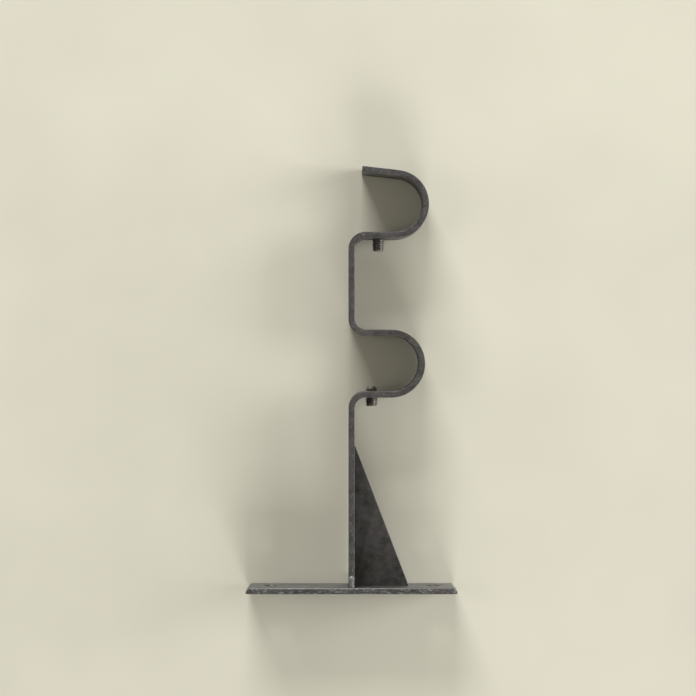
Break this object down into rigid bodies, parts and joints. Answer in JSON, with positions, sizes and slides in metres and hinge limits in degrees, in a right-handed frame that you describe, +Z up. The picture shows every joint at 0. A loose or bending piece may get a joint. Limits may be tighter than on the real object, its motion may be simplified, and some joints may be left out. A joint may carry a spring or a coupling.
{
  "type": "curtain pole bracket",
  "caption": "Double curtain pole bracket: a bent flat strip with two open cups, one behind the other, on a gusseted wall plate, with a grub screw in each cup.",
  "frame": {"origin": "centre of the wall plate's back face, on the wall", "axes": "+X out from the wall along the arm, +Z up towards the cups' mouths, Y along the poles"},
  "size_m": [0.1734, 0.0202, 0.086],
  "materials": {
    "black_paint": "satin black paint",
    "painted_weld": "glossier black paint over a weld bead",
    "blackened_steel": "blackened steel, lightly oiled"
  },
  "bodies": {
    "bracket": {"arm_strip": "black_paint", "wall_plate": "black_paint", "gusset": "black_paint", "near_arm_weld": "painted_weld", "far_arm_weld": "painted_weld", "gusset_arm_weld_low": "painted_weld", "gusset_arm_weld_high": "painted_weld", "gusset_plate_weld": "painted_weld"},
    "front_screw": {"front_grub_screw": "blackened_steel"},
    "rear_screw": {"rear_grub_screw": "blackened_steel"}
  },
  "joints": [
    {"name": "front_screw_travel", "type": "slide", "parent": "bracket", "child": "front_screw", "axis": [1, 0, 0], "range_m": [-0.0004, 0.0051]},
    {"name": "rear_screw_travel", "type": "slide", "parent": "bracket", "child": "rear_screw", "axis": [1, 0, 0], "range_m": [-0.0019, 0.0036]}
  ]
}
